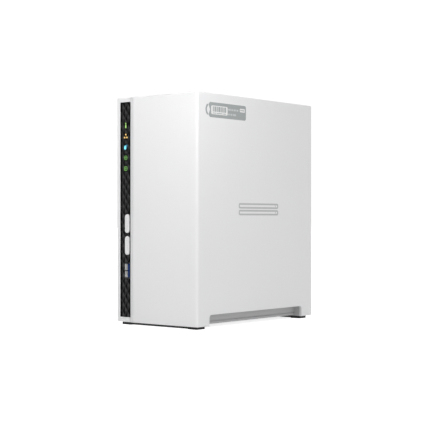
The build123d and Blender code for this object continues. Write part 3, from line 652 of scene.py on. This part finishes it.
def usb_springs(name, mouth, wall_x, middle_z):
    """Two leaf springs that bulge from the wide wall of the USB shell, just behind its mouth."""
    steps = 10
    bm = bmesh.new()
    for z in (middle_z - SPRING_PITCH / 2, middle_z + SPRING_PITCH / 2):
        previous = None
        for i in range(steps + 1):
            t = i / steps
            y = mouth + SPRING_START[1] + SPRING_LONG * t
            x = wall_x + SPRING_START[0] + SPRING_RISE * math.sin(math.pi * t)
            ends = [bm.verts.new((x, y, z + s * SPRING_WIDE / 2)) for s in (-1, 1)]
            if previous:
                bm.faces.new((previous[0], previous[1], ends[1], ends[0]))
            previous = ends
    bmesh.ops.solidify(bm, geom=bm.faces[:], thickness=SPRING_SHEET)
    finish_piece(name, bm, "chassis", "spring_tin")


usb_middle_z = (usb_low.z + usb_high.z) / 2
usb_springs("front_usb_springs", usb_low.y, usb_low.x + SHELL_SKIN, usb_middle_z)

# ------------------------------------------------------------------ rear rating label
RATING_MARGIN, RATING_PITCH = 4 * MM, 3.6 * MM
RATING_TEXT = ([11.0, 6.0, 8.5], [7.0, 12.5], [9.5, 5.0, 10.0], [13.0, 8.0])
RATING_CODE = [
    0.9, 0.5, 1.5, 0.5, 1.2, 2.0, 0.6, 1.1, 0.5, 1.7, 0.8, 1.3, 0.5, 1.0, 1.8, 0.7, 1.2, 0.5,
]

rating_low, rating_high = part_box("rating_label")


def back(x, z, y):
    """Where a point of a flat shape on the back goes: across seen from behind, up and depth."""
    return Vector((-x, y, z))


def rating_row(level, height, widths, gap, **ends):
    """Bars side by side on the rating label, from their widths in millimetres."""
    shapes, at = [], -rating_high.x + RATING_MARGIN
    for width in widths:
        shapes.append([bar((at + width * MM / 2, level), width * MM, height, **ends)])
        at += width * MM + gap
    return shapes


rating_bars = []
for row, widths in enumerate(RATING_TEXT):
    level = rating_high.z - 5 * MM - RATING_PITCH * row
    rating_bars += rating_row(level, 1.5 * MM, widths, 1.6 * MM)
code_level = rating_low.z + 7.2 * MM
rating_bars += rating_row(code_level, 7.5 * MM, RATING_CODE, 0.7 * MM, radius=0.1 * MM, steps=1)
plates(
    "rating_label_bars", rating_bars, back, (rating_high.y - 0.02 * MM, rating_high.y + PROUD),
    "chassis", "label_grey",
)

# ------------------------------------------------------------------ drive labels
DRIVE_LABEL = (82 * MM, 44 * MM)
DRIVE_LABEL_Z = 34 * MM                   # the label's middle, above the lid's lower edge
DRIVE_ROW, DRIVE_COLUMN = 6.5 * MM, 34 * MM
DRIVE_FIRST_BAR = (-24 * MM, 15 * MM)     # the top left bar's middle, from the label's middle
# How far the label's back and its face lie behind the lid's raised disc. The lid's sheet lies
# 0.4 mm behind it, so the back is sunk into the sheet.
DRIVE_LABEL_INSET = (0.44 * MM, 0.3 * MM)


def drive_label(name):
    """A paper label low on a drive's lid, with two columns of printed bars."""
    low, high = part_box(f"{name}_lid")
    centre = ((low.y + high.y) / 2, low.z + DRIVE_LABEL_Z)
    paper = [[bar(centre, *DRIVE_LABEL, 2 * MM)]]
    depth = [high.x - inset for inset in DRIVE_LABEL_INSET]
    plates(f"{name}_label", paper, side, depth, "chassis", "label_white")
    marks = []
    for row in range(5):
        for column in range(2):
            y = centre[0] + DRIVE_FIRST_BAR[0] + DRIVE_COLUMN * column
            z = centre[1] + DRIVE_FIRST_BAR[1] - DRIVE_ROW * row
            width = (26 - 4 * ((row + column) % 3)) * MM
            marks.append([bar((y, z), width, 1.6 * MM)])
    depth = (depth[1] - 0.02 * MM, depth[1] + PROUD)
    plates(f"{name}_label_bars", marks, side, depth, "chassis", "label_grey")


drive_label("drive_1")
drive_label("drive_2")


# ------------------------------------------------------------------ camera, light and floor
CAMERA_PLACE = (0.6371, -0.7728, 0.0869)
CAMERA_TURN = 39.324
CAMERA_LENS = 94.885
BACKDROP_LEVEL = 1.05
ROOM_LEVEL, FLAG_LEVEL = 0.77, 0.03
FLAG_DIRECTION = (-0.85, -0.52, 0.0)
FLAG_EDGE = (0.7, 0.87)                   # cosines of the angles where it begins and is full
FLOOR_RADIUS, FLOOR_GLOW = 12, 0.8


def make_camera():
    """A level camera at the photo's angle."""
    data = bpy.data.cameras.new("camera")
    data.lens, data.sensor_width = CAMERA_LENS, 36
    data.clip_start, data.clip_end = 0.01, 100
    camera = bpy.data.objects.new("camera", data)
    camera.location = CAMERA_PLACE
    camera.rotation_euler = (math.radians(90), 0, math.radians(CAMERA_TURN))
    bpy.context.scene.collection.objects.link(camera)
    bpy.context.scene.camera = camera


def make_world():
    """White behind the object; for light, an even room with a dark screen at the front left."""
    world = bpy.data.worlds.new("studio")
    world.use_nodes = True
    bpy.context.scene.world = world
    nodes, links = world.node_tree.nodes, world.node_tree.links
    nodes.clear()

    direction = nodes.new("ShaderNodeTexCoord").outputs["Generated"]
    towards = nodes.new("ShaderNodeVectorMath")
    towards.operation = "DOT_PRODUCT"
    towards.inputs[1].default_value = FLAG_DIRECTION
    links.new(direction, towards.inputs[0])
    flag = nodes.new("ShaderNodeMapRange")
    flag.interpolation_type = "SMOOTHSTEP"
    links.new(towards.outputs["Value"], flag.inputs["Value"])
    ends = zip(("From Min", "From Max", "To Min", "To Max"), (*FLAG_EDGE, ROOM_LEVEL, FLAG_LEVEL))
    for key, value in ends:
        flag.inputs[key].default_value = value
    light = nodes.new("ShaderNodeBackground")
    links.new(flag.outputs[0], light.inputs["Strength"])
    backdrop = nodes.new("ShaderNodeBackground")
    backdrop.inputs["Strength"].default_value = BACKDROP_LEVEL
    for background in (light, backdrop):
        background.inputs["Color"].default_value = (1, 1, 1, 1)
    choose = nodes.new("ShaderNodeMixShader")
    links.new(nodes.new("ShaderNodeLightPath").outputs["Is Camera Ray"], choose.inputs[0])
    links.new(light.outputs[0], choose.inputs[1])
    links.new(backdrop.outputs[0], choose.inputs[2])
    output = nodes.new("ShaderNodeOutputWorld")
    links.new(choose.outputs[0], output.inputs["Surface"])


def soft_light(name, place, target, size, power):
    """A round soft box that points at a target and doesn't show itself."""
    data = bpy.data.lights.new(name, "AREA")
    data.shape, data.size, data.energy = "DISK", size, power
    light = bpy.data.objects.new(name, data)
    light.location = place
    light.rotation_euler = (Vector(target) - Vector(place)).to_track_quat("-Z", "Y").to_euler()
    light.visible_camera = False
    bpy.context.scene.collection.objects.link(light)


def make_floor():
    """A plain white floor that fades into the backdrop."""
    bm = bmesh.new()
    bmesh.ops.create_circle(bm, cap_ends=True, radius=FLOOR_RADIUS, segments=96)
    mesh = bpy.data.meshes.new("floor")
    bm.to_mesh(mesh)
    bm.free()
    f = Finish("floor_white")
    f.set(base_color=f.blend(f.noise(0.4), (0.86, 0.86, 0.86), (0.88, 0.88, 0.88)), roughness=0.9)
    seen = f.node("ShaderNodeLightPath", {}).outputs["Is Camera Ray"]
    f.set(specular_ior_level=0.0, emission_color=(1, 1, 1))
    f.set(emission_strength=f.spread(seen, 0, FLOOR_GLOW))
    mesh.materials.append(f.material)
    floor = bpy.data.objects.new("floor", mesh)
    # Left out of reflections, where it would whiten the facets that face down.
    floor.visible_glossy = False
    bpy.context.scene.collection.objects.link(floor)


make_camera()
make_world()
make_floor()
soft_light("front_fill", (-0.1, -0.9, 0.35), (0, -0.07, 0.1), size=0.7, power=0.9)
soft_light("side_fill", (0.6, -0.25, 0.5), (0.04, 0, 0.12), size=0.4, power=0.13)
soft_light("key_light", (0.07, -0.27, 0.27), (0.005, -0.078, 0.17), size=0.12, power=0.155)
soft_light("corner_light", (0.16, -0.14, 0.23), (0.045, -0.068, 0.165), size=0.08, power=0.065)
bpy.context.scene.view_settings.view_transform = "Standard"
